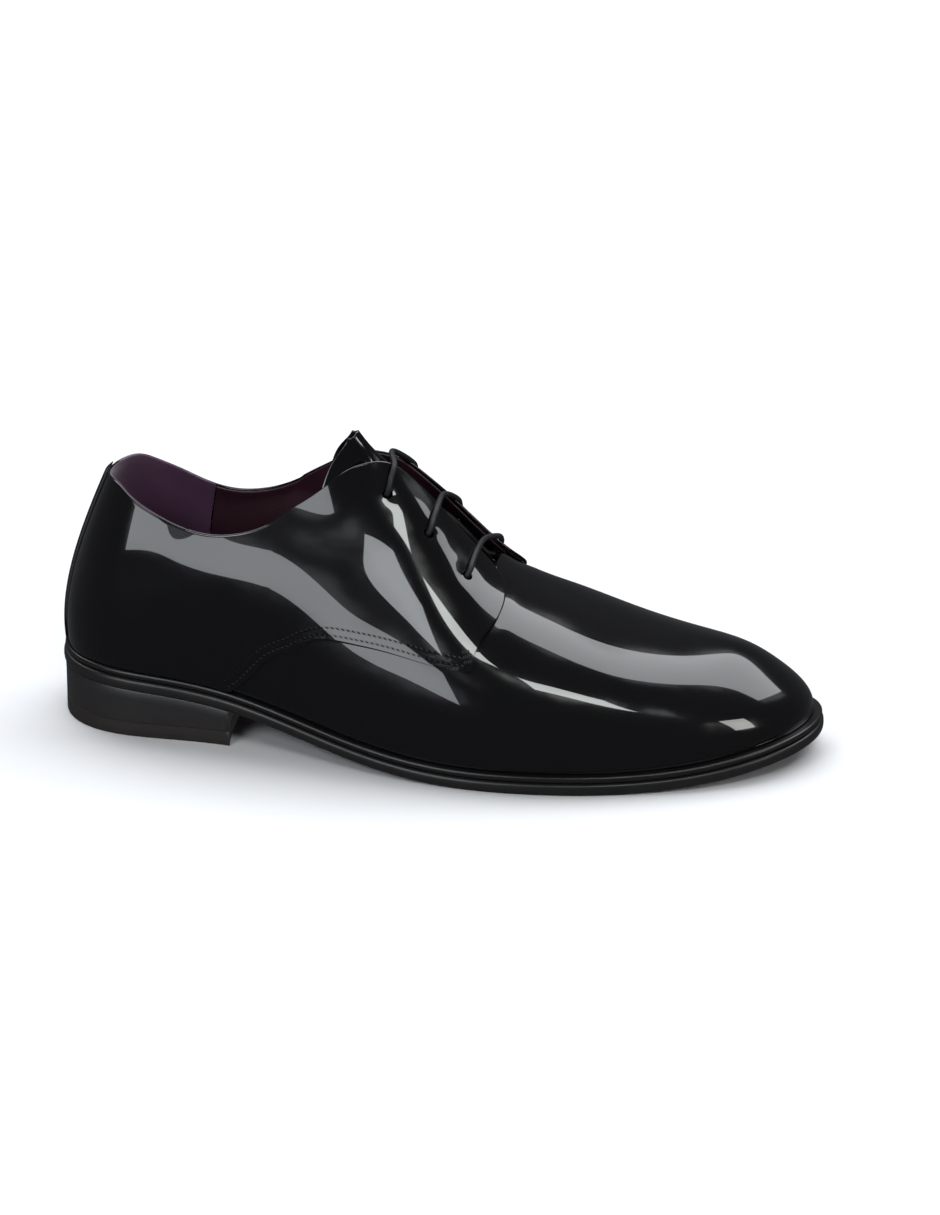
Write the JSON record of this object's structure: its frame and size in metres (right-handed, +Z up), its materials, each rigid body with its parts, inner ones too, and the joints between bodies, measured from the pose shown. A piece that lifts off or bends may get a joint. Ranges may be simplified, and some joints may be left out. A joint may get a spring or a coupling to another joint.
{
  "type": "patent derby dress shoe, right foot",
  "caption": "Right derby dress shoe in black patent leather: open lacing over a tongue, welted sole, stacked block heel, lined upper that opens at the laces.",
  "frame": {"origin": "on the ground, under the middle of the sole's length and width", "axes": "+X towards the toe, +Y towards the inner (medial) side of the foot, +Z up"},
  "size_m": [0.3, 0.1041, 0.1228],
  "materials": {
    "patent_leather": "patent, high gloss",
    "sole_edge": "dyed and waxed, satin",
    "welt_leather": "dyed, satin",
    "heel_leather": "dyed, satin",
    "top_piece_rubber": "moulded, matt",
    "nail_steel": "bright",
    "eyelet_metal": "black lacquer",
    "insole_board": "vegetable tanned, raw",
    "sock_suede": "suede",
    "grip_suede": "suede",
    "lining_leather": "smooth, semi-matt",
    "cork": "granulated cork",
    "counter_board": "fibre board, raw",
    "waxed_cord": "waxed",
    "aglet_plastic": "gloss"
  },
  "bodies": {
    "shoe": {"outsole": "sole_edge", "welt": "welt_leather", "heel_block": "heel_leather", "heel_lift": "heel_leather", "heel_top_piece": "top_piece_rubber", "heel_nail_1": "nail_steel", "heel_nail_2": "nail_steel", "heel_nail_3": "nail_steel", "heel_nail_4": "nail_steel", "heel_nail_5": "nail_steel", "insole": "insole_board", "sock_liner": "sock_suede", "cork_filler": "cork", "shank": "nail_steel", "vamp": "patent_leather", "vamp_lining": "lining_leather", "toe_puff": "counter_board", "heel_counter": "counter_board", "heel_grip_lining": "grip_suede", "backstay": "patent_leather", "lateral_quarter": "patent_leather", "lateral_quarter_lining": "lining_leather", "medial_quarter": "patent_leather", "medial_quarter_lining": "lining_leather", "shoelace": "waxed_cord", "lateral_aglet": "aglet_plastic", "medial_aglet": "aglet_plastic"},
    "lateral_facing": {"lateral_facing": "patent_leather", "lateral_facing_lining": "lining_leather", "lateral_eyelet_1": "eyelet_metal", "lateral_eyelet_2": "eyelet_metal", "lateral_eyelet_3": "eyelet_metal"},
    "medial_facing": {"medial_facing": "patent_leather", "medial_facing_lining": "lining_leather", "medial_eyelet_1": "eyelet_metal", "medial_eyelet_2": "eyelet_metal", "medial_eyelet_3": "eyelet_metal"},
    "tongue": {"tongue": "patent_leather", "tongue_lining": "lining_leather"}
  },
  "joints": [
    {"name": "lateral_facing_spread", "type": "hinge", "parent": "shoe", "child": "lateral_facing", "pos_m": [0.02131, -0.0485, 0.04738], "axis": [0.8396, -0.2592, -0.4774], "range_deg": [0, 20], "stiffness_Nm_per_rad": 0.3, "deforming": ["shoelace"]},
    {"name": "medial_facing_spread", "type": "hinge", "parent": "shoe", "child": "medial_facing", "pos_m": [0.02202, 0.04024, 0.04469], "axis": [-0.8604, -0.1308, 0.4926], "range_deg": [0, 20], "stiffness_Nm_per_rad": 0.3, "deforming": ["shoelace"]},
    {"name": "tongue_flex", "type": "hinge", "parent": "shoe", "child": "tongue", "pos_m": [0.0336, 0.0058, 0.054], "axis": [0, 1, 0], "range_deg": [-10, 0], "stiffness_Nm_per_rad": 0.15}
  ],
  "couplings": [
    {"joint": "medial_facing_spread", "follows": "lateral_facing_spread", "ratio": 1}
  ]
}
